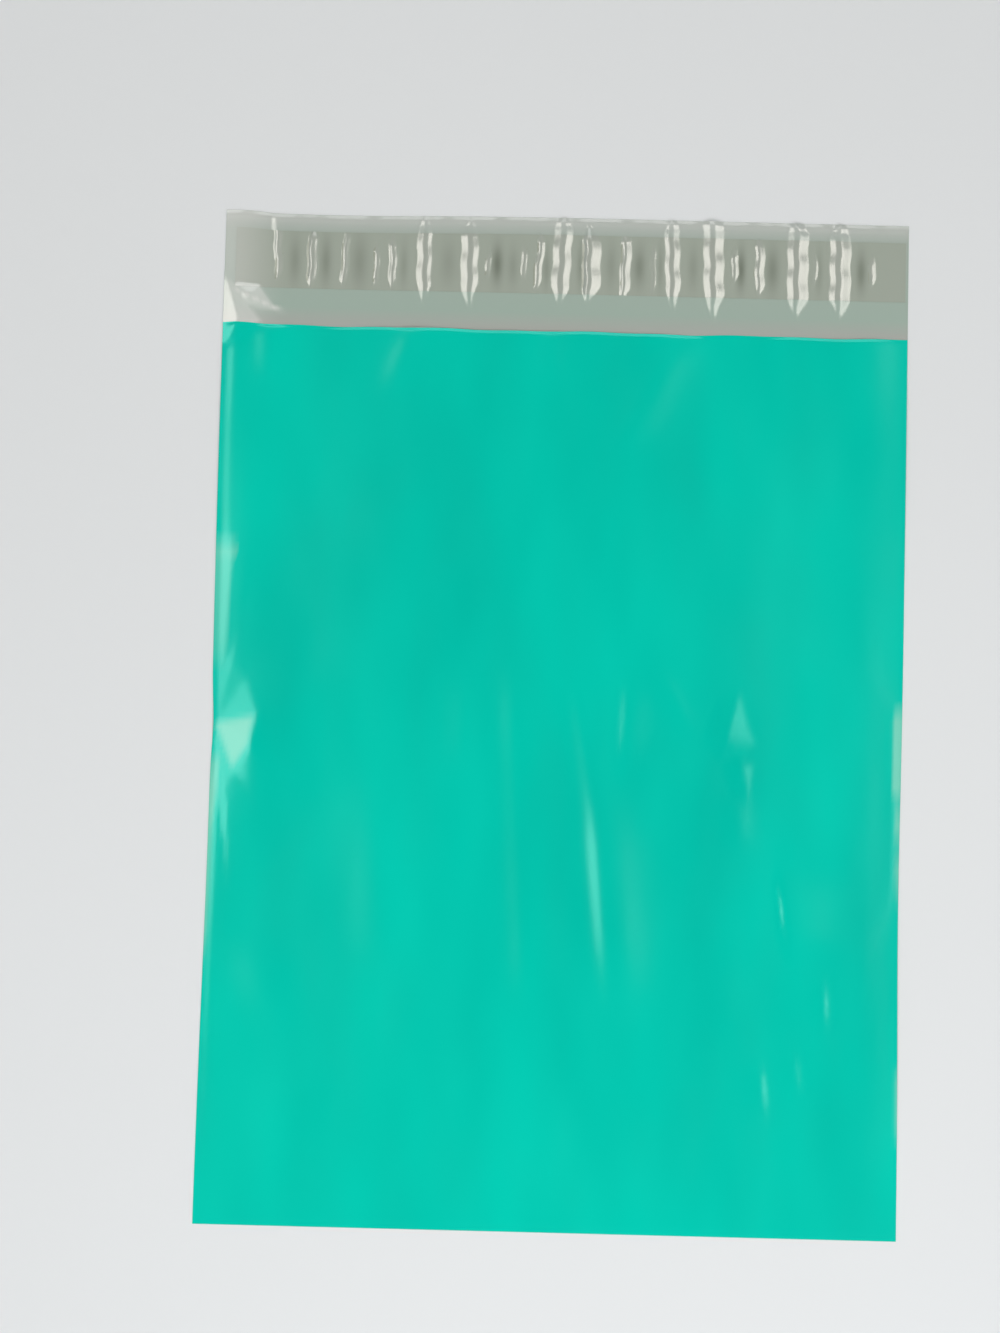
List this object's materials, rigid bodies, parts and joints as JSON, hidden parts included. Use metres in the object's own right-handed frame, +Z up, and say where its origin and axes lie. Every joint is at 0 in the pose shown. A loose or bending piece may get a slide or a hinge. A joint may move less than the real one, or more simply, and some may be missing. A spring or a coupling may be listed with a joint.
{
  "type": "poly mailer bag",
  "caption": "Flat, empty poly mailer bag: thin plastic film folded and heat sealed into a pouch, with an open mouth and a closing flap that carries a glue band under a rippled peel-off liner.",
  "frame": {"origin": "middle of the underside of the bag, flap included, on the surface it lies on", "axes": "+X across the bag, +Y from the bottom fold to the flap, +Z up, out of the front panel"},
  "size_m": [0.254, 0.373, 0.0032],
  "materials": {
    "teal_film": "soft gloss polyethylene film, teal outside and grey inside",
    "glue": "clear tacky glue",
    "liner_film": "glossy see-through release film"
  },
  "bodies": {
    "root": {"bag_film": "teal_film", "glue_band": "glue", "release_liner": "liner_film"}
  },
  "joints": []
}
